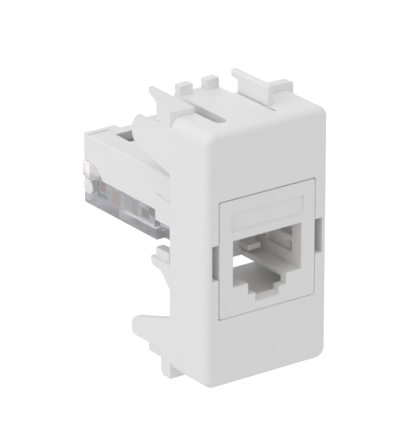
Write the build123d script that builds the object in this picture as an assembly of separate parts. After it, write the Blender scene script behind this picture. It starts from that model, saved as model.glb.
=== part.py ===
from build123d import *
import os

os.makedirs("parts", exist_ok=True)

# All sizes are in millimetres. X runs to the right seen from the front, Y runs from the
# face into the wall and Z runs up. The origin is the middle of the plug opening, on the face.

# Plug port
port_width = 11.84
port_height = 6.95
port_depth = 10.7
key_width = 6.6
key_drop = 1.68
latch_width = 4.06
latch_drop = 1.3
latch_ramp_rise = 0.5
latch_step = 0.05
lip_thickness = 1.35
rail_thickness = 0.85
latch_room_width = 13.0
pocket_end_wall = 2.3
port_back_wall = 1.1

# Front block of the jack
insert_width = 16.5
insert_height = 17.5
insert_middle = 0.87
insert_corner = 0.35
shoulder_height = 0.75
shoulder_depth = 1.4
label_width = 12.4
label_height = 2.76
label_middle = 6.16
label_recess = 0.3
insert_recess = 0.08
label_corner = 0.15
roof_wall = 1.25
wall_pocket_depth = 0.9
wall_pocket_start = 2.3
upper_pocket_low = 0.7
upper_pocket_high = 3.1
lower_pocket_low = -1.75
lower_pocket_high = -0.15
lower_pocket_length = 1.2
guide_recess = 0.5
guide_recess_high = -0.6
stop_width = 2.2
stop_height = 0.85
stop_length = 2.1
stop_middle = 4.0
stop_low = -2.95

# Module housing
housing_width = 21.0
housing_top = 20.0
housing_bottom = -18.2
housing_depth = 8.8
housing_corner = 1.6
face_round = 0.95
face_thickness = 2.0
housing_wall = 1.3
window_gap = 0.11
window_shift = 0.06
release_width = 1.15
release_low = -1.78
release_high = 3.45
roof_thickness = 1.2
roof_depth = 11.9
slot_left = -6.3
slot_right = -4.35
slot_front = 3.2
tongue_right = 2.44
tongue_depth = 16.4
peg_width = 2.15
peg_length = 1.45
peg_height = 1.5
peg_inset = 0.12
peg_side_round = 0.12
peg_top_round = 0.12
flange_front = 8.55
flange_thickness = 1.65
left_flange_height = 0.82
right_flange_height = 1.1
flange_proud = 0.15
flange_corner = 0.6
upper_band_low = 12.15
lower_band_high = -10.7
rib_left = 3.3
rib_thickness = 0.9
rib_front = 4.65
rib_height = 3.06
rib_bevel_width = 0.28
rib_bevel_drop = 0.4
rib_front_round = 0.22
left_plate_thickness = 0.8
hook_round = 0.25
right_hook_reach = 1.55
right_hook_depth = 1.15
right_hook_throat = 0.3
left_hook_reach = 1.92
left_hook_depth = 0.75
left_hook_throat = 1.2
left_hook_round = 0.34
slit_width = 0.28
slit_front = 2.6
foot_flange_front = 8.7
foot_flange_thickness = 2.3
foot_flange_drop = 1.15
ear_reach = 17.9
ear_wall = 1.05
upper_ear_root_low = 11.56
upper_ear_tip_low = 14.2
upper_ear_tip_high = 18.3
upper_ear_root_high = 19.1
lower_ear_root_high = -10.0
lower_ear_tip_high = -13.0
lower_ear_low = -15.55
ear_round = 1.4
ear_heel_round = 0.7
upper_ear_round = 2.4
upper_ear_bend_high = 16.85
upper_ear_peak_reach = 16.4
upper_ear_rim = 0.35
upper_ear_bevel_drop = 0.7
lower_ear_reach = 18.2
ear_root_overlap = 0.3
cross_wall_front = 14.3
cross_wall_thickness = 1.0
cross_wall_height = 2.4
cross_wall_drop = 0.3
foot_hook_depth = 14.45
foot_hook_drop = 1.45
foot_hook_inset = 0.35

# Latch arms that hold the jack in the housing
arm_gap = 0.15
arm_thickness = 0.75
arm_front = 1.6
arm_overhang = 3.55
arm_foot = -6.7
arm_foot_setback = 1.1
arm_bend_overhang = 1.1
arm_bend_z = -4.5
arm_step_setback = 3.5
arm_step_length = 1.2
arm_tip_high = -3.0
arm_tip_low = -4.2
arm_tip_slant = 0.25
tooth_depth = 1.35
tooth_gap = 0.1
tooth_high = -1.76
tooth_overhang = 3.25

# Rear housing of the jack
rear_width = 16.4
rear_top = 9.67
cable_room = 4.95
rear_wall = 1.2
rear_roof = 1.15
rear_step_length = 3.8
rear_low_front = 2.15
rear_low = 3.72
rear_joint_gap = 0.04
rear_end_wall = 1.3
crease_height = 6.2
crease_depth = 0.14
crease_width = 0.9
roof_opening_width = 9.6
roof_opening_length = 3.4
roof_opening_inset = 3.2
rim_height = 0.12
rim_length = 0.95
rim_neck_width = 9.4
rear_edge_round = 0.3
cable_notch_width = 5.7
cable_notch_depth = 1.3
cable_notch_floor = 5.4
tongue_thickness = 0.9
tongue_length = 3.6
tongue_low = 2.6
tongue_high = 5.3
tongue_gap = 0.08

# Hinge of the clear wiring cap
hinge_inset = 0.95
hinge_z = 1.8
pin_diameter = 2.3
pin_gap = 0.1
lobe_radius = 3.85
lobe_gap = 0.15
lug_thickness = 1.0
lug_radius = 1.15
lug_side_gap = 0.15
lug_room = 0.6

# Clear wiring cap
cap_low = -0.8
cap_floor = 1.1
cap_wall = 1.0
cap_back_inset = 0.05
cap_tab_low = 3.2
cap_tab_overhang = 0.5
cap_front_gap = 0.6
cap_nose_length = 2.8
cap_nose_width = 13.6
cap_nose_high = 1.95
cap_corner_high = 0.95
cap_edge_gap = 0.12
cap_rib_thickness = 0.5
cap_rib_drop = 1.4
cap_rib_side_gap = 0.25

# Circuit board
board_width = 11.6
board_thickness = 1.2
board_low = 6.35
board_front = 2.7
board_back_inset = 0.7
board_gap = 0.06

# Contact springs and the comb that guides them
contact_count = 8
contact_pitch = 1.016
contact_width = 0.4
contact_thickness = 0.3
contact_root_y = 3.3
contact_bend_z = 4.9
contact_low_inset = 0.75
contact_low_z = 1.55
contact_tip_length = 1.0
contact_tip_z = 2.25
contact_bend_radius = 0.45
contact_root_gap = 0.08
comb_slot_width = 0.64
comb_width = 10.3
comb_front = 2.75
comb_bar_back = 4.3
comb_bar_low = 4.35
comb_back_inset = 0.15
comb_teeth_length = 1.8
comb_teeth_low = 0.7
comb_end_wall = 0.45
comb_rail = 0.75
comb_gap = 0.1

# Terminal block and its blades
tower_count = 4
tower_pitch = 2.9
tower_front_margin = 1.7
tower_back_margin = 1.5
block_width = 13.0
block_front_gap = 4.6
block_low = 1.3
block_gap = 0.05
wire_slot_width = 0.9
wire_slot_top = 4.4
blade_x = 4.75
blade_width = 2.1
blade_thickness = 0.4
blade_low = 1.7
blade_slot_width = 0.42
blade_slot_top = 4.6
blade_lead_in = 0.7
blade_pocket_gap = 0.08
tail_width = 0.6
tail_top = 8.15
tail_hole_gap = 0.1
centre_slot_width = 3.2

# Wiring label
label_sheet = 0.12
label_front_inset = 0.3
label_overhang = 2.7
label_low = 0.75
label_high = 3.3
label_gap = 0.03

# Values that follow from the sizes above
port_half_w = port_width / 2
port_half_h = port_height / 2
key_low = -port_half_h - key_drop
latch_low = key_low - latch_drop
latch_floor = latch_low - latch_step
pocket_reach = port_depth - pocket_end_wall
insert_depth = port_depth + port_back_wall
rail_low = -port_half_h - rail_thickness
insert_half_w = insert_width / 2
insert_top = insert_middle + insert_height / 2
insert_low = insert_middle - insert_height / 2
housing_half_w = housing_width / 2
housing_height = housing_top - housing_bottom
housing_middle = (housing_top + housing_bottom) / 2
rear_half_w = rear_width / 2
rear_front = insert_depth + rear_joint_gap
rear_step_depth = insert_depth + rear_step_length
block_front = insert_depth + block_front_gap
tower_first_y = block_front + tower_front_margin
block_back = tower_first_y + (tower_count - 1) * tower_pitch + tower_back_margin
rear_reach = block_back + cable_room
roof_opening_back = rear_reach - roof_opening_inset
roof_opening_front = roof_opening_back - roof_opening_length
hinge_y = rear_reach - hinge_inset
cap_front = insert_depth + cap_front_gap
cap_shoulder_depth = cap_front + cap_nose_length
cap_back = rear_reach - cap_back_inset
cap_tab_reach = rear_reach + cap_tab_overhang
board_back = block_back - board_back_inset
label_front = block_front + label_front_inset
label_back = block_back + label_overhang
comb_back = port_depth - comb_back_inset
comb_teeth_front = comb_back - comb_teeth_length
contact_low_y = comb_teeth_front - contact_low_inset
contact_tip_y = contact_low_y + contact_tip_length
arm_reach = insert_depth + arm_overhang
arm_step_y = insert_depth - arm_step_setback
arm_bend_y = insert_depth + arm_bend_overhang
arm_foot_reach = insert_depth - arm_foot_setback
board_high = board_low + board_thickness
chamber_high = insert_top - roof_wall
chamber_half_w = comb_width / 2 + tongue_gap
arm_inner = insert_half_w + arm_gap
arm_outer = arm_inner + arm_thickness
lobe_room = lobe_radius + lobe_gap
through = 1.0
overlap = 0.1


def block(x0, x1, y0, y1, z0, z1):
    """A box between two corners."""
    size = Box(x1 - x0, y1 - y0, z1 - z0)
    return Pos((x0 + x1) / 2, (y0 + y1) / 2, (z0 + z1) / 2) * size


def side_prism(points, x0, x1):
    """A solid with the given outline of (y, z) points, from x0 to x1."""
    outline = make_face(Polyline(*points, close=True))
    return extrude(Plane.YZ.offset(x0) * outline, amount=x1 - x0)


def rounded_prism(points, x0, x1):
    """A solid from x0 to x1 whose outline has (y, z, corner radius) points."""
    line = FilletPolyline(*[(y, z) for y, z, corner in points],
                          radius=[corner for y, z, corner in points], close=True)
    return extrude(Plane.YZ.offset(x0) * make_face(line), amount=x1 - x0)


def front_prism(sketch, y0, y1):
    """A solid with the given sketch of (x, z), from y0 to y1."""
    return extrude(Plane.XZ.offset(-y1) * sketch, amount=y1 - y0)


def cross_pin(radius, x0, x1, y, z):
    """A round pin along X."""
    return extrude(Plane.YZ.offset(x0) * Pos(y, z) * Circle(radius), amount=x1 - x0)


def mirrored(shape):
    """The same shape on the other side of the middle plane."""
    return mirror(shape, about=Plane.YZ)


def contact_positions():
    """Middles of the eight contacts along X."""
    first = -(contact_count - 1) / 2 * contact_pitch
    return [first + contact_pitch * index for index in range(contact_count)]


def terminal_positions():
    """Places of the terminals: four on the left, then four on the right."""
    rows = [tower_first_y + tower_pitch * index for index in range(tower_count)]
    return [(side * blade_x, y) for side in (-1, 1) for y in rows]


# Module housing: face, side walls and roof
def housing_shell():
    outer = front_prism(
        Pos(0, housing_middle) * RectangleRounded(housing_width, housing_height, housing_corner),
        0, housing_depth)
    outer = fillet(outer.faces().sort_by(Axis.Y)[0].edges(), face_round)
    room = front_prism(
        Pos(0, housing_middle) * RectangleRounded(
            housing_width - 2 * housing_wall, housing_height - 2 * housing_wall,
            housing_corner - housing_wall),
        face_thickness, housing_depth + through)
    window = front_prism(
        Pos(-window_shift, insert_middle + window_shift) * RectangleRounded(
            insert_width + 2 * window_gap, insert_height + 2 * window_gap, insert_corner),
        -through, face_thickness + through)
    shell = outer - room - window
    release = block(insert_half_w, insert_half_w + window_gap + release_width,
                    -through, face_thickness + through, release_low, release_high)
    return shell - release - mirrored(release)


def rear_outline_strip(y0, y1, grow, x0, x1, z0, z1):
    """A part of a ring that follows the housing's outline, cut to a window of X and Z."""
    ring = front_prism(
        Pos(0, housing_middle) * RectangleRounded(
            housing_width + 2 * grow, housing_height, housing_corner), y0, y1)
    core = front_prism(
        Pos(0, housing_middle) * RectangleRounded(
            housing_width - 2 * housing_wall, housing_height - 2 * housing_wall,
            housing_corner - housing_wall), y0 - through, y1 + through)
    return (ring - core) & block(x0, x1, y0, y1, z0, z1)


def roof_slab():
    low = housing_top - roof_thickness
    back = rear_outline_strip(housing_depth, roof_depth, 0, -housing_half_w, housing_half_w,
                              low, housing_top)
    tongue = block(slot_right, tongue_right, housing_depth, tongue_depth, low, housing_top)
    return back + tongue


def roof_cut(x0, x1, front):
    """A cut through the roof from a round front end to the open back."""
    width = x1 - x0
    cut = block(x0, x1, front + width / 2, tongue_depth + through,
                housing_top - housing_wall - through, housing_top + through)
    end = Pos((x0 + x1) / 2, front + width / 2, housing_top) * Cylinder(
        width / 2, 2 * (housing_wall + through))
    return cut + end


def peg(x):
    """A peg on the tongue, with its left edge at x, its corners and top rounded."""
    post = block(x, x + peg_width, tongue_depth - peg_length, tongue_depth,
                 housing_top - overlap, housing_top + peg_height)
    post = fillet(post.edges().filter_by(Axis.Z), peg_side_round)
    return fillet(post.faces().sort_by(Axis.Z)[-1].edges(), peg_top_round)


def pegs():
    return [peg(slot_right + peg_inset), peg(tongue_right - peg_width)]


def flange_piece(x0, x1, height):
    """A stretch of the rear flange, raised above the roof and wrapped over its corner."""
    back = flange_front + flange_thickness
    grown = front_prism(
        Pos(flange_proud / 2, housing_middle) * RectangleRounded(
            housing_width + flange_proud, housing_height + 2 * height,
            flange_corner), flange_front, back)
    core = front_prism(
        Pos(0, housing_middle) * RectangleRounded(
            housing_width - 2 * housing_wall, housing_height - 2 * housing_wall,
            housing_corner - housing_wall), flange_front - through, back + through)
    return (grown - core) & block(x0, x1, flange_front, back, upper_band_low,
                                  housing_top + through)


def right_clip():
    """The right clip: a rib with its upper left edge bevelled and a hooked tail."""
    foot = housing_top - roof_thickness
    top = housing_top + rib_height
    tip = roof_depth + right_hook_reach
    hook_low = top - right_hook_depth
    rib = rounded_prism([
        (rib_front, foot, 0), (rib_front, top, hook_round), (tip, top, hook_round),
        (tip, hook_low, hook_round), (roof_depth, hook_low - overlap, right_hook_throat),
        (roof_depth, foot, 0)], rib_left, rib_left + rib_thickness)
    rib = fillet(rib.edges().filter_by(Axis.Z).sort_by(Axis.Y)[:2], rib_front_round)
    bevel = front_prism(make_face(Polyline(
        (rib_left, top), (rib_left + rib_bevel_width, top), (rib_left, top - rib_bevel_drop),
        close=True)), rib_front - through, tip + through)
    return (rib - bevel) + flange_piece(rib_left, housing_half_w + flange_proud,
                                        right_flange_height)


def left_clip():
    """The left clip: the plate rises in one line from the flange's front to the hook."""
    foot = housing_top - roof_thickness
    top = housing_top + rib_height
    tip = roof_depth + left_hook_reach
    low = housing_top + left_flange_height
    outer = -housing_half_w
    rib = rounded_prism([
        (flange_front, foot, 0), (flange_front, low, 0), (tip, top, left_hook_round),
        (tip, top - left_hook_depth, left_hook_round),
        (roof_depth, top - 2 * left_hook_depth, left_hook_throat), (roof_depth, foot, 0)],
        outer, outer + left_plate_thickness)
    ramp = side_prism([(flange_front, low), (tip, top),
                       (flange_front + flange_thickness, low - left_hook_depth),
                       (flange_front, low - left_hook_depth)], outer, slot_left)
    side_cut = Plane.XY.offset(low - through) * make_face(Polyline(
        (slot_left, flange_front), (slot_left + through, flange_front),
        (slot_left + through, tongue_depth), (outer + left_plate_thickness, tongue_depth),
        (outer + left_plate_thickness, tip), close=True))
    ramp = ramp - extrude(side_cut, amount=rib_height + 2 * through)
    return rib + ramp + flange_piece(-housing_half_w, slot_left, left_flange_height)


def ear_plates():
    """Side plates that run back from the housing, above and below the jack."""
    root = housing_depth - ear_root_overlap
    upper = rounded_prism([
        (root, upper_ear_root_low, 0), (ear_reach, upper_ear_tip_low, ear_round),
        (ear_reach, upper_ear_bend_high, upper_ear_round),
        (upper_ear_peak_reach, upper_ear_tip_high, 0),
        (cross_wall_front, upper_ear_tip_high, 0), (flange_front, upper_ear_root_high, 0),
        (root, upper_ear_root_high, 0)], -housing_half_w, -housing_half_w + ear_wall)
    # The peak's inner edge is bevelled, which leaves a thin rim outside
    rim_inner = -housing_half_w + upper_ear_rim
    ear_inner = -housing_half_w + ear_wall
    high = upper_ear_tip_high
    bevel_low = high - upper_ear_bevel_drop
    bevel = front_prism(make_face(Polyline(
        (rim_inner, high + through), (rim_inner, high), (ear_inner, bevel_low),
        (ear_inner + through, bevel_low), (ear_inner + through, high + through),
        close=True)), cross_wall_front, ear_reach + through)
    upper = upper - bevel
    lower = rounded_prism([
        (root, lower_ear_root_high, 0), (lower_ear_reach, lower_ear_tip_high, ear_round),
        (lower_ear_reach, lower_ear_low, ear_heel_round), (root, lower_ear_low, 0)],
        -housing_half_w, -housing_half_w + ear_wall)
    # The flange runs down the lower ear's inside
    band = block(-housing_half_w, -housing_half_w + ear_wall, foot_flange_front,
                 foot_flange_front + foot_flange_thickness, housing_bottom, lower_band_high)
    lower = lower + band
    return [upper, mirrored(upper), lower, mirrored(lower)]


def cross_walls():
    """Walls that join the two upper ears and the two lower ones."""
    high = upper_ear_tip_high - cross_wall_drop
    upper = block(-housing_half_w, housing_half_w, cross_wall_front,
                  cross_wall_front + cross_wall_thickness, high - cross_wall_height, high)
    low = lower_ear_low - foot_hook_drop
    half = housing_half_w - foot_hook_inset
    lower = block(-half, half, foot_hook_depth - cross_wall_thickness,
                  foot_hook_depth, low, lower_ear_low + foot_hook_drop)
    floor = block(-half, half, housing_depth - ear_root_overlap,
                  foot_hook_depth, low, lower_ear_low)
    return [upper, lower, floor]


def foot_flange():
    back = foot_flange_front + foot_flange_thickness
    low = housing_bottom - foot_flange_drop
    plate = block(-housing_half_w, housing_half_w, foot_flange_front, back, low,
                  lower_ear_low - foot_hook_drop / 2)
    bottom = plate.faces().sort_by(Axis.Z)[0].edges().filter_by(Axis.X).sort_by(Axis.Y)[-1]
    plate = chamfer(bottom, foot_flange_thickness / 4)
    link = block(-housing_half_w + housing_corner, housing_half_w - housing_corner,
                 housing_depth - housing_wall, back, housing_bottom,
                 housing_bottom + housing_wall)
    return plate + link


def latch_arm():
    """The left spring arm: the block on its inner side holds the back of the jack."""
    outline = [
        (arm_front, release_low), (arm_step_y, release_low),
        (arm_step_y + arm_step_length, arm_tip_high), (arm_reach, arm_tip_high),
        (arm_reach - arm_tip_slant, arm_tip_low), (arm_bend_y, arm_bend_z),
        (arm_foot_reach, arm_foot), (arm_front, arm_foot)]
    arm = side_prism(outline, -arm_outer, -arm_inner)
    tooth = block(-arm_inner, -arm_inner + tooth_depth, insert_depth + tooth_gap,
                  insert_depth + tooth_overhang, arm_tip_low, tooth_high)
    return arm + tooth


def make_housing():
    body = housing_shell() + roof_slab()
    body = body - roof_cut(slot_left, slot_right, slot_front)
    body = body - roof_cut(rib_left - slit_width, rib_left, slit_front)
    body = body + pegs()
    body = body + right_clip() + left_clip()
    body = body + ear_plates() + cross_walls() + foot_flange()
    arm = latch_arm()
    return body + arm + mirrored(arm)


# Front block of the jack, with the plug port in its face
def port_opening():
    main = Rectangle(port_width, port_height)
    key = Pos(0, -port_half_h - key_drop / 2) * Rectangle(key_width, key_drop)
    latch = Pos(0, key_low - latch_drop / 2) * Rectangle(latch_width, latch_drop)
    return front_prism(main + key + latch, -through, lip_thickness + through)


def wall_pockets():
    outer = port_half_w + wall_pocket_depth
    upper = block(port_half_w - overlap, outer, wall_pocket_start, pocket_reach,
                  upper_pocket_low, upper_pocket_high)
    lower = block(port_half_w - overlap, outer, wall_pocket_start,
                  wall_pocket_start + lower_pocket_length, lower_pocket_low, lower_pocket_high)
    guide = block(port_half_w - overlap, port_half_w + guide_recess, wall_pocket_start,
                  pocket_reach, lower_pocket_low, guide_recess_high)
    return upper + lower + guide


def make_jack_body():
    body = front_prism(
        Pos(0, insert_middle) * RectangleRounded(insert_width, insert_height, insert_corner),
        insert_recess, insert_depth)
    shoulder = block(-insert_half_w + insert_corner, insert_half_w - insert_corner,
                     face_thickness + window_gap, face_thickness + window_gap + shoulder_depth,
                     insert_low - shoulder_height, insert_top + shoulder_height)
    body = body + shoulder
    label = front_prism(Pos(0, label_middle) * RectangleRounded(label_width, label_height,
                                                                 label_corner),
                        -through, insert_recess + label_recess)
    plug_room = block(-port_half_w, port_half_w, lip_thickness, port_depth,
                      -port_half_h, port_half_h)
    latch_room = block(-latch_room_width / 2, latch_room_width / 2, lip_thickness,
                       insert_depth + through, latch_floor, rail_low)
    channel = block(-key_width / 2, key_width / 2, lip_thickness, port_depth,
                    rail_low - overlap, -port_half_h + overlap)
    # The floor of the latch slot rises behind the face
    ramp = side_prism([(lip_thickness, latch_floor), (insert_recess, latch_floor),
                       (lip_thickness, latch_floor + latch_ramp_rise)],
                      -latch_width / 2, latch_width / 2)
    chamber = block(-chamber_half_w, chamber_half_w, comb_front - comb_gap, insert_depth + through,
                    comb_teeth_low - comb_gap, chamber_high)
    board_groove = block(-board_width / 2 - board_gap, board_width / 2 + board_gap,
                         board_front - board_gap, insert_depth + through,
                         board_low - board_gap, board_high + board_gap)
    tongue_pocket = block(rear_half_w - rear_wall - tongue_thickness - tongue_gap,
                          rear_half_w - rear_wall + tongue_gap,
                          insert_depth - tongue_length - tongue_gap, insert_depth + through,
                          tongue_low - tongue_gap, tongue_high + tongue_gap)
    pockets = wall_pockets()
    body = body - port_opening() - label - plug_room - latch_room - channel
    body = body - chamber - board_groove - tongue_pocket - mirrored(tongue_pocket)
    body = body - pockets - mirrored(pockets)
    stop = block(stop_middle - stop_width / 2, stop_middle + stop_width / 2,
                 port_depth - stop_length, port_depth + overlap, stop_low, stop_low + stop_height)
    return body + ramp + stop


# Comb that spaces the contact springs
def make_comb():
    half = comb_width / 2
    top = board_low - board_gap
    comb = block(-half, half, comb_front, comb_back, comb_teeth_low, top)
    comb = comb - block(-half + comb_rail, half - comb_rail, comb_bar_back, comb_teeth_front,
                        comb_teeth_low - through, top + through)
    comb = comb - block(-half - through, half + through, comb_front - through,
                        comb_teeth_front, comb_teeth_low - through, comb_bar_low)
    for x in contact_positions():
        comb = comb - block(x - comb_slot_width / 2, x + comb_slot_width / 2,
                            comb_front + comb_end_wall / 2, comb_back - comb_end_wall,
                            comb_teeth_low - through, top + through)
    return comb


def make_contact(x):
    root_z = board_low - contact_root_gap
    path = FilletPolyline((contact_root_y, root_z), (contact_root_y, contact_bend_z),
                          (contact_low_y, contact_low_z), (contact_tip_y, contact_tip_z),
                          radius=contact_bend_radius)
    ribbon = trace(path, contact_thickness)
    place = Plane.YZ.offset(x - contact_width / 2)
    return extrude(place * ribbon, amount=contact_width)


# Circuit board, with a hole for each terminal's tail
def make_board():
    board = block(-board_width / 2, board_width / 2, board_front, board_back,
                  board_low, board_high)
    for x, y in terminal_positions():
        hole = tail_width / 2 + tail_hole_gap
        board = board - block(x - blade_thickness / 2 - tail_hole_gap,
                              x + blade_thickness / 2 + tail_hole_gap,
                              y - hole, y + hole, board_low - through, board_high + through)
    return board


# Terminal block: a slot for each wire and a pocket for each blade
def make_terminal_block():
    half = block_width / 2
    body = block(-half, half, block_front, block_back, block_low, board_low - block_gap)
    body = body - block(-centre_slot_width / 2, centre_slot_width / 2, block_front - through,
                        block_back + through, block_low - through, wire_slot_top)
    for x, y in terminal_positions():
        side = 1 if x > 0 else -1
        far = side * (half + through)
        near = side * (centre_slot_width / 2 - overlap)
        body = body - block(min(far, near), max(far, near), y - wire_slot_width / 2,
                            y + wire_slot_width / 2, block_low - through, wire_slot_top)
        body = body - block(x - blade_thickness / 2 - blade_pocket_gap,
                            x + blade_thickness / 2 + blade_pocket_gap,
                            y - blade_width / 2 - blade_pocket_gap,
                            y + blade_width / 2 + blade_pocket_gap,
                            block_low - through, board_low)
    return body


def make_terminal(x, y):
    half = blade_width / 2
    x0 = x - blade_thickness / 2
    x1 = x + blade_thickness / 2
    blade = block(x0, x1, y - half, y + half, blade_low, board_low - 2 * block_gap)
    blade = blade - block(x0 - through, x1 + through, y - blade_slot_width / 2,
                          y + blade_slot_width / 2, blade_low - through, blade_slot_top)
    tail = block(x0, x1, y - tail_width / 2, y + tail_width / 2,
                 board_low - 3 * block_gap, tail_top)
    lead_in = side_prism([(y - blade_slot_width, blade_low - overlap), (y, blade_low + blade_lead_in),
                          (y + blade_slot_width, blade_low - overlap)], x0 - through, x1 + through)
    return blade + tail - lead_in


# Rear housing of the jack, with the lugs and pins that carry the cap
def rear_side_outline():
    return [
        (rear_front, rear_low_front), (rear_step_depth, rear_low_front),
        (rear_step_depth, rear_low), (rear_reach, rear_low), (rear_reach, rear_top),
        (rear_front, rear_top)]


def make_rear_housing():
    half = rear_half_w
    wall = side_prism(rear_side_outline(), half - rear_wall, half)
    lobe_cut = cross_pin(lobe_room, half - rear_wall - through, half + through,
                         hinge_y, hinge_z)
    wall = wall - lobe_cut
    crease = side_prism([(rear_front - overlap, crease_height + crease_width / 2),
                         (rear_step_depth, crease_height),
                         (rear_front - overlap, crease_height - crease_width / 2)],
                        half - crease_depth, half + through)
    wall = wall - crease
    roof = block(-half, half, rear_front, rear_reach, rear_top - rear_roof, rear_top)
    roof = roof - block(-roof_opening_width / 2, roof_opening_width / 2, roof_opening_front,
                        roof_opening_back, rear_top - rear_roof - through, rear_top + through)
    inner = half - rear_wall
    end_low = hinge_z + lug_radius + lug_room
    end = block(-inner, inner, rear_reach - 2 * rear_end_wall, rear_reach, end_low, rear_top)
    notch = block(-cable_notch_width / 2, cable_notch_width / 2,
                  rear_reach - cable_notch_depth, rear_reach + through,
                  cable_notch_floor, rear_top + through)
    lug_out = inner - lug_side_gap
    lug = side_prism([(hinge_y - lug_radius, hinge_z), (hinge_y + lug_radius - overlap, hinge_z),
                      (hinge_y + lug_radius - overlap, rear_top - rear_roof / 2),
                      (hinge_y - lug_radius, rear_top - rear_roof / 2)],
                     lug_out - lug_thickness, lug_out)
    lug = lug + cross_pin(lug_radius, lug_out - lug_thickness, lug_out, hinge_y, hinge_z)
    pin = cross_pin(pin_diameter / 2, lug_out - lug_thickness / 2, half, hinge_y, hinge_z)
    tongue = block(inner - tongue_thickness, inner, insert_depth - tongue_length,
                   rear_front + 2 * rear_wall, tongue_low, tongue_high)
    side = wall + tongue + lug + pin
    tongue_root = block(inner - tongue_thickness, inner + rear_wall / 2, rear_front,
                        rear_front + 2 * rear_wall, tongue_low, tongue_high)
    side = side + tongue_root
    # A low rim along the back edge, which reaches the roof's opening in the middle
    rim = block(-half, half, rear_reach - rim_length, rear_reach,
                rear_top - rear_roof, rear_top + rim_height)
    rim_neck = block(-rim_neck_width / 2, rim_neck_width / 2, roof_opening_back,
                     rear_reach, rear_top - rear_roof, rear_top + rim_height)
    body = roof + end + side + mirrored(side)
    long_edges = [edge for edge in body.edges().filter_by(Axis.Y)
                  if edge.center().Z > rear_top - overlap and abs(edge.center().X) > half - overlap]
    body = fillet(long_edges, rear_edge_round)
    return body + rim + rim_neck - notch


# Clear cap that presses the wires into the terminals
def make_cap():
    half = rear_half_w
    inner = half - cap_wall
    edge_high = rear_low - cap_edge_gap
    wall = side_prism([
        (cap_shoulder_depth, cap_low), (cap_back, cap_low), (cap_back, cap_tab_low + through),
        (hinge_y - lobe_radius / 2, cap_tab_low + through), (hinge_y - lobe_radius, edge_high),
        (rear_step_depth + cap_edge_gap, edge_high),
        (rear_step_depth + cap_edge_gap, cap_corner_high),
        (cap_shoulder_depth, cap_corner_high)], inner, half)
    lobe = cross_pin(lobe_radius, inner, half, hinge_y, hinge_z)
    lobe = lobe & block(inner - through, half + through, hinge_y - lobe_radius,
                        cap_tab_reach, cap_tab_low, hinge_z + lobe_radius)
    hole = cross_pin(pin_diameter / 2 + pin_gap, inner - through, half + through,
                     hinge_y, hinge_z)
    wall = wall + lobe - hole
    floor = block(-half, half, cap_shoulder_depth, cap_back, cap_low, cap_low + cap_floor)
    nose_half = cap_nose_width / 2
    nose = block(-nose_half, nose_half, cap_front, cap_shoulder_depth + cap_wall,
                 cap_low, cap_low + cap_floor)
    nose_side = block(nose_half - cap_wall, nose_half, cap_front,
                      cap_shoulder_depth + cap_wall, cap_low, cap_nose_high)
    nose_front = block(-nose_half, nose_half, cap_front, cap_front + cap_wall,
                       cap_low, cap_nose_high)
    cap = floor + nose + nose_front + nose_side + mirrored(nose_side) + wall + mirrored(wall)
    # Ribs between the wires push each one down its slot
    for x, y in terminal_positions():
        side = 1 if x > 0 else -1
        x0 = side * (blade_x + blade_thickness / 2 + cap_rib_side_gap)
        x1 = side * (block_width / 2 - cap_rib_side_gap)
        cap = cap + block(min(x0, x1), max(x0, x1), y - cap_rib_thickness / 2,
                          y + cap_rib_thickness / 2, cap_low, wire_slot_top - cap_rib_drop)
    return cap


def make_label():
    """Two colour strips inside the cap's side walls, one on each side."""
    outer = rear_half_w - cap_wall - label_gap
    strip = block(outer - label_sheet, outer, label_front, label_back, label_low, label_high)
    return strip


def write(name, shape):
    export_step(shape, "parts/" + name + ".step")


write("housing", make_housing())
write("jack_body", make_jack_body())
write("contact_comb", make_comb())
write("circuit_board", make_board())
write("terminal_block", make_terminal_block())
write("rear_housing", make_rear_housing())
write("wiring_cap", make_cap())
write("wiring_label_right", make_label())
write("wiring_label_left", mirrored(make_label()))
for number, contact_x in enumerate(contact_positions(), start=1):
    write("contact_" + str(number), make_contact(contact_x))
for number, (terminal_x, terminal_y) in enumerate(terminal_positions(), start=1):
    write("terminal_" + str(number), make_terminal(terminal_x, terminal_y))
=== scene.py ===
import math
import bpy
import numpy as np
from mathutils import Matrix, Vector


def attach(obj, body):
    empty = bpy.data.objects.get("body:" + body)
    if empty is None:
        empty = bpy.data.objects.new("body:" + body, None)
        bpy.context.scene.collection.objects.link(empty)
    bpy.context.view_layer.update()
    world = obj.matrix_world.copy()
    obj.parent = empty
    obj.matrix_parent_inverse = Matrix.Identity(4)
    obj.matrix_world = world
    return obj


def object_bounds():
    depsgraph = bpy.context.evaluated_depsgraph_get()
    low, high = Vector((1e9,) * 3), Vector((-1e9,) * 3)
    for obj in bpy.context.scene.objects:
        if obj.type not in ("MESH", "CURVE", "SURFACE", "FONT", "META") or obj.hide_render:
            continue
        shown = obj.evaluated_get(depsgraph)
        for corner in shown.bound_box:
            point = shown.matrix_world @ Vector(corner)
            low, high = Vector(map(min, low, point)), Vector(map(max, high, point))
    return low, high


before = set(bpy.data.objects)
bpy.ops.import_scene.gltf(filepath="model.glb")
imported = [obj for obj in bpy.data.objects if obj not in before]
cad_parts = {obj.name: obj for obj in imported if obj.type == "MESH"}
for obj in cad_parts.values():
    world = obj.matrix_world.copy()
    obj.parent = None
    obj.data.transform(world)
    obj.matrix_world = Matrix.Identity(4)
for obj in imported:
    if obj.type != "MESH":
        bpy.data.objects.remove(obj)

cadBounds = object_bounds()
mm = 0.001

# What the camera stands at: its angles in degrees, its place in metres and its lens
camera = {
    "azimuth": -35.7871,
    "elevation": 22.1025,
    "roll": 0.0749,
    "place": (-0.34011, -0.45792, 0.23653),
    "lens": 358.02,
    "sensor": 36.0,
    "nearest": 0.01,
    "farthest": 10,
}

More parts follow.
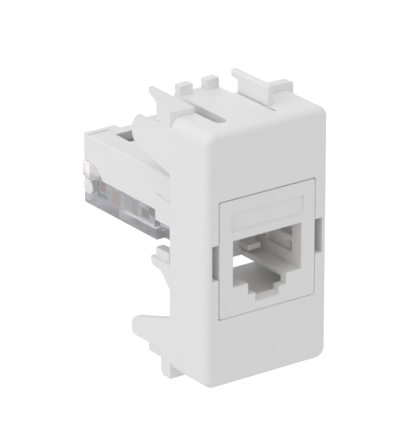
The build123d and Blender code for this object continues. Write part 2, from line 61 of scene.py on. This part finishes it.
studio = {
    "floorDrop": 0.03,         # how far the floor lies below the foot
    "floorSize": 3.0,
    "floorColor": 0.80,
    "floorLift": 0.42,         # what the camera sees on top of the floor's own light
    "farLift": 0.25,           # and how much more far out, where the soft boxes reach less
    "farFrom": 0.15,           # where the far lift begins, in metres from the middle
    "farTo": 0.60,             # and where it is whole
    "skyColor": (1, 1, 1, 1),
    "skyLight": 0.53,          # what the sky gives to the object
    "skySeen": 1.0,            # what the camera sees of it
}

# Soft boxes: direction from the object, distance, width and power
softBoxes = {
    "topBox": {"toward": (-0.12, 0.05, 1.0), "distance": 0.8, "size": 0.8, "power": 1.65},
    "leftBox": {"toward": (-0.95, 0.06, 0.30), "distance": 0.8, "size": 0.8, "power": 1.95},
    "fillBox": {"toward": (0.10, -0.95, 0.15), "distance": 0.9, "size": 0.8, "power": 1.10},
}


def setCamera():
    azimuth = math.radians(camera["azimuth"])
    elevation = math.radians(camera["elevation"])
    roll = math.radians(camera["roll"])
    level = Vector((math.cos(azimuth), math.sin(azimuth), 0))
    back = Vector((math.sin(azimuth) * math.cos(elevation),
                   -math.cos(azimuth) * math.cos(elevation), math.sin(elevation)))
    upright = back.cross(level)
    right = level * math.cos(roll) + upright * math.sin(roll)
    up = upright * math.cos(roll) - level * math.sin(roll)
    lens = bpy.data.cameras.new("photoCamera")
    lens.lens = camera["lens"]
    lens.sensor_width = camera["sensor"]
    lens.sensor_fit = "AUTO"
    lens.clip_start = camera["nearest"]
    lens.clip_end = camera["farthest"]
    stand = bpy.data.objects.new("photoCamera", lens)
    stand.matrix_world = Matrix.Translation(camera["place"]) @ Matrix(
        (right, up, back)).transposed().to_4x4()
    bpy.context.scene.collection.objects.link(stand)
    bpy.context.scene.camera = stand


def seenDirectly(nodes, links):
    # 1 for what the camera sees, also in gloss and through clear plastic, 0 for light that bounces
    path = nodes.new("ShaderNodeLightPath")
    first = nodes.new("ShaderNodeMath")
    first.operation = "MAXIMUM"
    links.new(path.outputs["Is Camera Ray"], first.inputs[0])
    links.new(path.outputs["Is Glossy Ray"], first.inputs[1])
    both = nodes.new("ShaderNodeMath")
    both.operation = "MAXIMUM"
    links.new(first.outputs[0], both.inputs[0])
    links.new(path.outputs["Is Transmission Ray"], both.inputs[1])
    return both.outputs[0]


def setWorld():
    world = bpy.data.worlds.new("studioSky")
    bpy.context.scene.world = world
    world.use_nodes = True
    nodes = world.node_tree.nodes
    links = world.node_tree.links
    nodes.clear()
    out = nodes.new("ShaderNodeOutputWorld")
    mix = nodes.new("ShaderNodeMixShader")
    light = nodes.new("ShaderNodeBackground")
    light.inputs["Color"].default_value = studio["skyColor"]
    light.inputs["Strength"].default_value = studio["skyLight"]
    seen = nodes.new("ShaderNodeBackground")
    seen.inputs["Color"].default_value = studio["skyColor"]
    seen.inputs["Strength"].default_value = studio["skySeen"]
    links.new(seenDirectly(nodes, links), mix.inputs["Fac"])
    links.new(light.outputs[0], mix.inputs[1])
    links.new(seen.outputs[0], mix.inputs[2])
    links.new(mix.outputs[0], out.inputs["Surface"])


def floorMaterial():
    material = bpy.data.materials.new("studioFloor")
    material.use_nodes = True
    nodes = material.node_tree.nodes
    links = material.node_tree.links
    nodes.clear()
    out = nodes.new("ShaderNodeOutputMaterial")
    paint = nodes.new("ShaderNodeBsdfDiffuse")
    tone = studio["floorColor"]
    paint.inputs["Color"].default_value = (tone, tone, tone, 1)
    lift = nodes.new("ShaderNodeEmission")
    place = nodes.new("ShaderNodeTexCoord")
    away = nodes.new("ShaderNodeVectorMath")
    away.operation = "LENGTH"
    links.new(place.outputs["Object"], away.inputs[0])
    rise = nodes.new("ShaderNodeMapRange")
    rise.inputs["From Min"].default_value = studio["farFrom"]
    rise.inputs["From Max"].default_value = studio["farTo"]
    rise.inputs["To Min"].default_value = studio["floorLift"]
    rise.inputs["To Max"].default_value = studio["floorLift"] + studio["farLift"]
    links.new(away.outputs["Value"], rise.inputs["Value"])
    strength = nodes.new("ShaderNodeMath")
    strength.operation = "MULTIPLY"
    links.new(rise.outputs["Result"], strength.inputs[1])
    links.new(seenDirectly(nodes, links), strength.inputs[0])
    links.new(strength.outputs[0], lift.inputs["Strength"])
    both = nodes.new("ShaderNodeAddShader")
    links.new(paint.outputs[0], both.inputs[0])
    links.new(lift.outputs[0], both.inputs[1])
    links.new(both.outputs[0], out.inputs["Surface"])
    return material


def setFloor():
    half = studio["floorSize"] / 2
    height = cadBounds[0][2] - studio["floorDrop"]
    mesh = bpy.data.meshes.new("studioFloor")
    mesh.from_pydata([(-half, -half, height), (half, -half, height),
                      (half, half, height), (-half, half, height)], [], [(0, 1, 2, 3)])
    floor = bpy.data.objects.new("studioFloor", mesh)
    mesh.materials.append(floorMaterial())
    bpy.context.scene.collection.objects.link(floor)


def setLights():
    middle = (Vector(cadBounds[0]) + Vector(cadBounds[1])) / 2
    for name, box in softBoxes.items():
        lamp = bpy.data.lights.new(name, "AREA")
        lamp.shape = "SQUARE"
        lamp.size = box["size"]
        lamp.energy = box["power"]
        toward = Vector(box["toward"]).normalized()
        stand = bpy.data.objects.new(name, lamp)
        stand.location = middle + toward * box["distance"]
        stand.rotation_euler = toward.to_track_quat("Z", "Y").to_euler()
        bpy.context.scene.collection.objects.link(stand)


setCamera()
setWorld()
setFloor()
setLights()
print("studio ready")


# Shared effect: the fine grain and faint flow of a moulded plastic surface
grainNoise = {
    "flowDetail": 3.0,
    "grainDetail": 2.0,
    "middle": 0.5,             # the noise swings about this
}


def mouldedGrainGroup():
    group = bpy.data.node_groups.new("mouldedGrain", "ShaderNodeTree")
    face = group.interface
    face.new_socket("Color", in_out="INPUT", socket_type="NodeSocketColor")
    for label in ("Mottle", "Flow Size", "Grain Size", "Roughness", "Roughness Spread"):
        face.new_socket(label, in_out="INPUT", socket_type="NodeSocketFloat")
    face.new_socket("Color", in_out="OUTPUT", socket_type="NodeSocketColor")
    face.new_socket("Roughness", in_out="OUTPUT", socket_type="NodeSocketFloat")
    face.new_socket("Height", in_out="OUTPUT", socket_type="NodeSocketFloat")
    nodes = group.nodes
    links = group.links
    given = nodes.new("NodeGroupInput")
    out = nodes.new("NodeGroupOutput")
    place = nodes.new("ShaderNodeTexCoord")
    flow = nodes.new("ShaderNodeTexNoise")
    flow.inputs["Detail"].default_value = grainNoise["flowDetail"]
    links.new(place.outputs["Object"], flow.inputs["Vector"])
    links.new(given.outputs["Flow Size"], flow.inputs["Scale"])
    grain = nodes.new("ShaderNodeTexNoise")
    grain.inputs["Detail"].default_value = grainNoise["grainDetail"]
    links.new(place.outputs["Object"], grain.inputs["Vector"])
    links.new(given.outputs["Grain Size"], grain.inputs["Scale"])
    # colour times 1 plus mottle times the flow's swing about its middle
    swing = nodes.new("ShaderNodeMath")
    swing.operation = "SUBTRACT"
    swing.inputs[1].default_value = grainNoise["middle"]
    links.new(flow.outputs["Fac"], swing.inputs[0])
    amount = nodes.new("ShaderNodeMath")
    amount.operation = "MULTIPLY"
    links.new(swing.outputs[0], amount.inputs[0])
    links.new(given.outputs["Mottle"], amount.inputs[1])
    gain = nodes.new("ShaderNodeMath")
    gain.operation = "ADD"
    gain.inputs[1].default_value = 1.0
    links.new(amount.outputs[0], gain.inputs[0])
    tint = nodes.new("ShaderNodeVectorMath")
    tint.operation = "SCALE"
    links.new(given.outputs["Color"], tint.inputs[0])
    links.new(gain.outputs[0], tint.inputs["Scale"])
    links.new(tint.outputs[0], out.inputs["Color"])
    # roughness plus its spread times the grain's swing
    grainSwing = nodes.new("ShaderNodeMath")
    grainSwing.operation = "SUBTRACT"
    grainSwing.inputs[1].default_value = grainNoise["middle"]
    links.new(grain.outputs["Fac"], grainSwing.inputs[0])
    rough = nodes.new("ShaderNodeMath")
    rough.operation = "MULTIPLY_ADD"
    links.new(grainSwing.outputs[0], rough.inputs[0])
    links.new(given.outputs["Roughness Spread"], rough.inputs[1])
    links.new(given.outputs["Roughness"], rough.inputs[2])
    links.new(rough.outputs[0], out.inputs["Roughness"])
    links.new(grain.outputs["Fac"], out.inputs["Height"])
    return group


mouldedGrain = mouldedGrainGroup()


def startMaterial(name):
    material = bpy.data.materials.new(name)
    material.use_nodes = True
    nodes = material.node_tree.nodes
    shader = nodes["Principled BSDF"]
    return material, nodes, material.node_tree.links, shader


def addGrain(nodes, links, shader, look):
    grain = nodes.new("ShaderNodeGroup")
    grain.node_tree = mouldedGrain
    grain.inputs["Color"].default_value = (*look["color"], 1)
    grain.inputs["Mottle"].default_value = look["mottle"]
    grain.inputs["Flow Size"].default_value = look["flowSize"]
    grain.inputs["Grain Size"].default_value = look["grainSize"]
    grain.inputs["Roughness"].default_value = look["roughness"]
    grain.inputs["Roughness Spread"].default_value = look["roughnessSpread"]
    links.new(grain.outputs["Roughness"], shader.inputs["Roughness"])
    bump = nodes.new("ShaderNodeBump")
    bump.inputs["Strength"].default_value = look["grainStrength"]
    bump.inputs["Distance"].default_value = look["grainDepth"]
    links.new(grain.outputs["Height"], bump.inputs["Height"])
    links.new(bump.outputs["Normal"], shader.inputs["Normal"])
    return grain, bump


# Shared effect: 1 inside a rectangle of Y and Z, 0 outside, with soft edges
def fieldMaskGroup():
    group = bpy.data.node_groups.new("fieldMask", "ShaderNodeTree")
    face = group.interface
    for label in ("From Y", "To Y", "From Z", "To Z", "Softness"):
        face.new_socket(label, in_out="INPUT", socket_type="NodeSocketFloat")
    face.new_socket("Mask", in_out="OUTPUT", socket_type="NodeSocketFloat")
    nodes = group.nodes
    links = group.links
    given = nodes.new("NodeGroupInput")
    out = nodes.new("NodeGroupOutput")
    place = nodes.new("ShaderNodeTexCoord")
    split = nodes.new("ShaderNodeSeparateXYZ")
    links.new(place.outputs["Object"], split.inputs[0])

    def combine(operation, first, second):
        node = nodes.new("ShaderNodeMath")
        node.operation = operation
        links.new(first, node.inputs[0])
        links.new(second, node.inputs[1])
        return node.outputs[0]

    def inside(axis):
        # the smaller distance to the two edges, over the softness, held between 0 and 1
        low = combine("SUBTRACT", split.outputs[axis], given.outputs["From " + axis])
        high = combine("SUBTRACT", given.outputs["To " + axis], split.outputs[axis])
        share = combine("DIVIDE", combine("MINIMUM", low, high), given.outputs["Softness"])
        share.node.use_clamp = True
        return share

    links.new(combine("MULTIPLY", inside("Y"), inside("Z")), out.inputs["Mask"])
    return group


fieldMask = fieldMaskGroup()


def layFields(nodes, links, color, fields, softness):
    # each field's colour goes over the ones before it
    for fromY, toY, fromZ, toZ, tone in fields:
        mask = nodes.new("ShaderNodeGroup")
        mask.node_tree = fieldMask
        mask.inputs["From Y"].default_value = fromY
        mask.inputs["To Y"].default_value = toY
        mask.inputs["From Z"].default_value = fromZ
        mask.inputs["To Z"].default_value = toZ
        mask.inputs["Softness"].default_value = softness
        mix = nodes.new("ShaderNodeMix")
        mix.data_type = "RGBA"
        mix.inputs["B"].default_value = (*tone, 1)
        links.new(mask.outputs["Mask"], mix.inputs["Factor"])
        links.new(color, mix.inputs["A"])
        color = mix.outputs["Result"]
    return color


whitePlasticLook = {
    "color": (0.88, 0.88, 0.88),
    "mottle": 0.03, "flowSize": 160.0, "grainSize": 7000.0,
    "roughness": 0.36, "roughnessSpread": 0.10,
    "grainStrength": 0.12, "grainDepth": 0.00002,
    "edgeRound": 0.00012, "edgeSamples": 6,
    "ior": 1.5,
}


def roundEdges(nodes, links, bump, look):
    # soft moulded edges: the bevel's normal is the one that the grain is laid on
    bevel = nodes.new("ShaderNodeBevel")
    bevel.samples = look["edgeSamples"]
    bevel.inputs["Radius"].default_value = look["edgeRound"]
    links.new(bevel.outputs["Normal"], bump.inputs["Normal"])


def plasticMaterial(name, look):
    material, nodes, links, shader = startMaterial(name)
    grain, bump = addGrain(nodes, links, shader, look)
    links.new(grain.outputs["Color"], shader.inputs["Base Color"])
    roundEdges(nodes, links, bump, look)
    shader.inputs["IOR"].default_value = look["ior"]
    return material


combPlasticLook = dict(whitePlasticLook, color=(0.74, 0.74, 0.72), edgeRound=0.00005)
blockPlasticLook = dict(whitePlasticLook, color=(0.80, 0.80, 0.78), edgeRound=0.00008)

clearPlasticLook = {
    "color": (0.79, 0.79, 0.81),
    "mottle": 0.25, "flowSize": 260.0, "grainSize": 5000.0,
    "roughness": 0.10, "roughnessSpread": 0.04, "clearShare": 0.79, "ior": 1.22,
    "grainStrength": 0.05, "grainDepth": 0.00002,
    "paintedFacetSoftness": 0.0003,
    # painted highlights and painted shade: soft lighter and darker fields in the cap's colour that
    # stand in for the facets and what shows through the clear plastic: from y, to y, from z, to z
    # in metres, then the tint
    "paintedFacets": [
        (0.0130, 0.0160, -0.0010, 0.0010, (0.86, 0.86, 0.90)),
        (0.0157, 0.0246, -0.0010, 0.0011, (0.96, 0.96, 1.00)),
        (0.0166, 0.0178, -0.0007, 0.0002, (0.72, 0.72, 0.76)),
        (0.0194, 0.0203, -0.0002, 0.0008, (0.74, 0.73, 0.80)),
        (0.0206, 0.0232, -0.0004, 0.0008, (1.00, 1.00, 1.00)),
        (0.0244, 0.0340, -0.0010, 0.0008, (0.52, 0.52, 0.55)),
        (0.0262, 0.0274, -0.0004, 0.0005, (0.64, 0.55, 0.60)),
        (0.0290, 0.0304, -0.0004, 0.0004, (0.66, 0.66, 0.76)),
        (0.0318, 0.0340, -0.0004, 0.0006, (0.66, 0.66, 0.76)),
        (0.0290, 0.0345, 0.0034, 0.0070, (1.00, 0.96, 0.97))],
}


def clearMaterial(name, look):
    material, nodes, links, shader = startMaterial(name)
    grain, bump = addGrain(nodes, links, shader, look)
    # painted light and shade: the cap's colour takes the lighter and darker facet fields, with
    # soft edges
    color = layFields(nodes, links, grain.outputs["Color"], look["paintedFacets"],
                      look["paintedFacetSoftness"])
    links.new(color, shader.inputs["Base Color"])
    shader.inputs["IOR"].default_value = look["ior"]
    shader.inputs["Transmission Weight"].default_value = look["clearShare"]
    return material


metalLooks = {
    "contactGold": {
        "color": (0.86, 0.66, 0.30), "mottle": 0.12, "flowSize": 900.0, "grainSize": 9000.0,
        "roughness": 0.24, "roughnessSpread": 0.12, "grainStrength": 0.10,
        "grainDepth": 0.00001},
    "terminalTin": {
        "color": (0.74, 0.74, 0.72), "mottle": 0.14, "flowSize": 900.0, "grainSize": 9000.0,
        "roughness": 0.30, "roughnessSpread": 0.14, "grainStrength": 0.12,
        "grainDepth": 0.00001},
    "solderTin": {
        "color": (0.66, 0.66, 0.67), "mottle": 0.20, "flowSize": 1500.0, "grainSize": 6000.0,
        "roughness": 0.28, "roughnessSpread": 0.20, "grainStrength": 0.20,
        "grainDepth": 0.00002},
}


def metalMaterial(name):
    material, nodes, links, shader = startMaterial(name)
    grain, bump = addGrain(nodes, links, shader, metalLooks[name])
    links.new(grain.outputs["Color"], shader.inputs["Base Color"])
    shader.inputs["Metallic"].default_value = 1.0
    return material


labelLook = {
    "film": (0.68, 0.66, 0.67),
    "softness": 0.00022,       # width of a field's edge
    # each field: from y, to y, from z, to z in metres, then its colour
    "fields": [
        (0.0302, 0.0314, 0.0010, 0.0032, (0.20, 0.20, 0.09)),
        (0.0287, 0.0302, 0.0016, 0.0042, (0.52, 0.17, 0.07)),
        (0.0283, 0.0314, 0.0003, 0.0015, (0.02, 0.30, 0.22)),
        (0.0276, 0.0283, 0.0003, 0.0023, (0.40, 0.60, 0.60)),
        (0.0250, 0.0273, 0.0003, 0.0029, (0.66, 0.42, 0.38)),
        (0.0243, 0.0249, 0.0003, 0.0030, (0.84, 0.84, 1.00)),
        (0.0239, 0.0242, 0.0003, 0.0031, (0.22, 0.22, 0.24)),
        (0.0233, 0.0236, 0.0003, 0.0031, (0.22, 0.22, 0.24)),
        (0.0225, 0.0232, 0.0006, 0.0029, (0.66, 0.46, 0.45)),
        (0.0208, 0.0224, 0.0004, 0.0031, (0.44, 0.45, 0.42)),
        (0.0188, 0.0206, 0.0026, 0.0034, (0.99, 0.99, 0.97)),
        (0.0179, 0.0199, 0.0011, 0.0026, (0.18, 0.15, 0.07)),
        (0.0163, 0.0181, 0.0019, 0.0033, (0.09, 0.08, 0.08))],
    "roughness": 0.45,
}


def labelMaterial(name, look):
    # colour fields laid one by one over the pale film
    material, nodes, links, shader = startMaterial(name)
    film = nodes.new("ShaderNodeRGB").outputs[0]
    film.default_value = (*look["film"], 1)
    color = layFields(nodes, links, film, look["fields"], look["softness"])
    links.new(color, shader.inputs["Base Color"])
    shader.inputs["Roughness"].default_value = look["roughness"]
    return material


boardLook = {
    "color": (0.025, 0.085, 0.045),
    "trackColor": (0.045, 0.14, 0.07),
    "trackScale": 103.333333,  # the wave's scale, which gives a track about every 3 mm
    "trackBend": 1.2,          # how far the slow wave bends the tracks
    "trackBendSize": 0.6,
    "trackShare": 0.55,
    "mottle": 0.10, "flowSize": 400.0, "grainSize": 5000.0,
    "roughness": 0.30, "roughnessSpread": 0.10,
    "grainStrength": 0.10, "grainDepth": 0.00002,
}


def boardMaterial(name, look):
    # tracks are bands across the board, bent by a slow wave, lighter than the lacquer between them
    material, nodes, links, shader = startMaterial(name)
    grain, bump = addGrain(nodes, links, shader, look)
    place = nodes.new("ShaderNodeTexCoord")
    wave = nodes.new("ShaderNodeTexWave")
    wave.bands_direction = "X"
    wave.inputs["Scale"].default_value = look["trackScale"]
    wave.inputs["Distortion"].default_value = look["trackBend"]
    wave.inputs["Detail"].default_value = 0.0
    wave.inputs["Detail Scale"].default_value = look["trackBendSize"]
    links.new(place.outputs["Object"], wave.inputs["Vector"])
    track = nodes.new("ShaderNodeMath")
    track.operation = "GREATER_THAN"
    track.inputs[1].default_value = look["trackShare"]
    links.new(wave.outputs["Fac"], track.inputs[0])
    mix = nodes.new("ShaderNodeMix")
    mix.data_type = "RGBA"
    mix.inputs["B"].default_value = (*look["trackColor"], 1)
    links.new(track.outputs[0], mix.inputs["Factor"])
    links.new(grain.outputs["Color"], mix.inputs["A"])
    links.new(mix.outputs["Result"], shader.inputs["Base Color"])
    return material


def dress(material, *names):
    for name in names:
        node = bpy.data.objects[name]
        if not node.material_slots:
            node.data.materials.append(material)
        for place in node.material_slots:
            place.material = material


ways = range(1, 9)             # the jack's eight contacts and terminals

whitePlastic = plasticMaterial("whitePlastic", whitePlasticLook)
dress(whitePlastic, "housing", "jack_body", "rear_housing")
dress(plasticMaterial("combPlastic", combPlasticLook), "contact_comb")
dress(plasticMaterial("blockPlastic", blockPlasticLook), "terminal_block")
dress(clearMaterial("clearPlastic", clearPlasticLook), "wiring_cap")
dress(metalMaterial("contactGold"), *["contact_%d" % way for way in ways])
dress(metalMaterial("terminalTin"), *["terminal_%d" % way for way in ways])
dress(boardMaterial("boardLacquer", boardLook), "circuit_board")
dress(labelMaterial("labelFilm", labelLook), "wiring_label_left", "wiring_label_right")
print("materials ready")


# Shared form: a profile turned round an axis. Each point is the centre, plus the profile's height
# along the axis, plus its radius times the cosine and sine of the angle across the axis. The
# profile runs from low to high, and a pole on the axis closes each end.
def turnedForm(radius, height, centre, axis, sides):
    turn = np.linspace(0, 2 * np.pi, sides, endpoint=False)
    rings = np.empty((len(radius), sides, 3))
    across = ((axis + 1) % 3, (axis + 2) % 3)
    rings[:, :, across[0]] = radius[:, None] * np.cos(turn)[None, :]
    rings[:, :, across[1]] = radius[:, None] * np.sin(turn)[None, :]
    rings[:, :, axis] = height[:, None]
    poles = np.zeros((2, 3))
    poles[:, axis] = height[0], height[-1]
    points = np.vstack([rings.reshape(-1, 3), poles]) + np.asarray(centre)
    count = len(radius) * sides
    place = np.arange(count).reshape(len(radius), sides)
    beside = np.roll(place, -1, axis=1)
    walls = np.stack([place[:-1], beside[:-1], beside[1:], place[1:]], axis=-1).reshape(-1, 4)
    lowEnd = np.stack([np.full(sides, count), beside[0], place[0]], axis=-1)
    highEnd = np.stack([np.full(sides, count + 1), place[-1], beside[-1]], axis=-1)
    return points, walls.tolist() + lowEnd.tolist() + highEnd.tolist()


# One smooth piece made of several forms in millimetres
def piece(name, forms, material, body):
    points = np.vstack([form[0] for form in forms])
    faces = []
    start = 0
    for formPoints, formFaces in forms:
        faces += [[start + corner for corner in face] for face in formFaces]
        start += len(formPoints)
    mesh = bpy.data.meshes.new(name)
    mesh.from_pydata((points * mm).tolist(), [], faces)
    mesh.polygons.foreach_set("use_smooth", np.ones(len(faces), dtype=bool))
    mesh.materials.append(material)
    made = bpy.data.objects.new(name, mesh)
    bpy.context.scene.collection.objects.link(made)
    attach(made, body)


# Solder round the eight tails on the board, in millimetres
solder = {
    "acrossTails": (-4.75, 4.75),
    "alongTails": (18.1, 21.0, 23.9, 26.8),
    "boardTop": 7.55,
    "sunk": 0.04,              # how far the foot lies in the lacquer
    "footRadius": 0.82,
    "tipRadius": 0.38,
    "height": 0.66,
    "tipRound": 0.12,
    "flankPower": 3,
    "sides": 28,
    "rings": 14,
    "tipRings": 3,
}


def solderForms(look):
    # the radius falls from the foot's to the tip's by a power of the share of height that is
    # left, and a quarter ellipse closes the tip
    share = np.linspace(0, 1, look["rings"])
    fall = (1 - share) ** look["flankPower"]
    flank = look["tipRadius"] + (look["footRadius"] - look["tipRadius"]) * fall
    arc = np.linspace(0, np.pi / 2, look["tipRings"] + 2)[1:-1]
    radius = np.concatenate([[look["footRadius"]], flank, look["tipRadius"] * np.cos(arc)])
    height = np.concatenate([[-look["sunk"]], look["height"] * share,
                             look["height"] + look["tipRound"] * np.sin(arc)])
    return [turnedForm(radius, height, (x, y, look["boardTop"]), 2, look["sides"])
            for x in look["acrossTails"] for y in look["alongTails"]]


piece("solder_joints", solderForms(solder), metalMaterial("solderTin"), "jack")


# The low domes on the ends of the hinge pins, in millimetres
pinDome = {
    "end": 8.2,                # where a pin ends, left and right
    "back": 32.3,
    "high": 1.8,
    "radius": 1.13,
    "sunk": 0.10,
    "proud": 0.16,
    "sides": 40,
    "rings": 8,
}


def pinDomeForms(look):
    # radius and height are the cosine and sine of one quarter turn, on a short straight foot
    arc = np.linspace(0, np.pi / 2, look["rings"], endpoint=False)
    radius = np.concatenate([[look["radius"]], look["radius"] * np.cos(arc)])
    height = np.concatenate([[-look["sunk"]], look["proud"] * np.sin(arc)])
    right = (look["end"], look["back"], look["high"])
    left = (-look["end"], look["back"], look["high"])
    return [turnedForm(radius, height, right, 0, look["sides"]),
            turnedForm(radius[::-1], -height[::-1], left, 0, look["sides"])]


piece("pin_domes", pinDomeForms(pinDome), whitePlastic, "jack")
print("detail pieces ready")


# Plain tones, with no film curve
bpy.context.scene.view_settings.view_transform = "Standard"
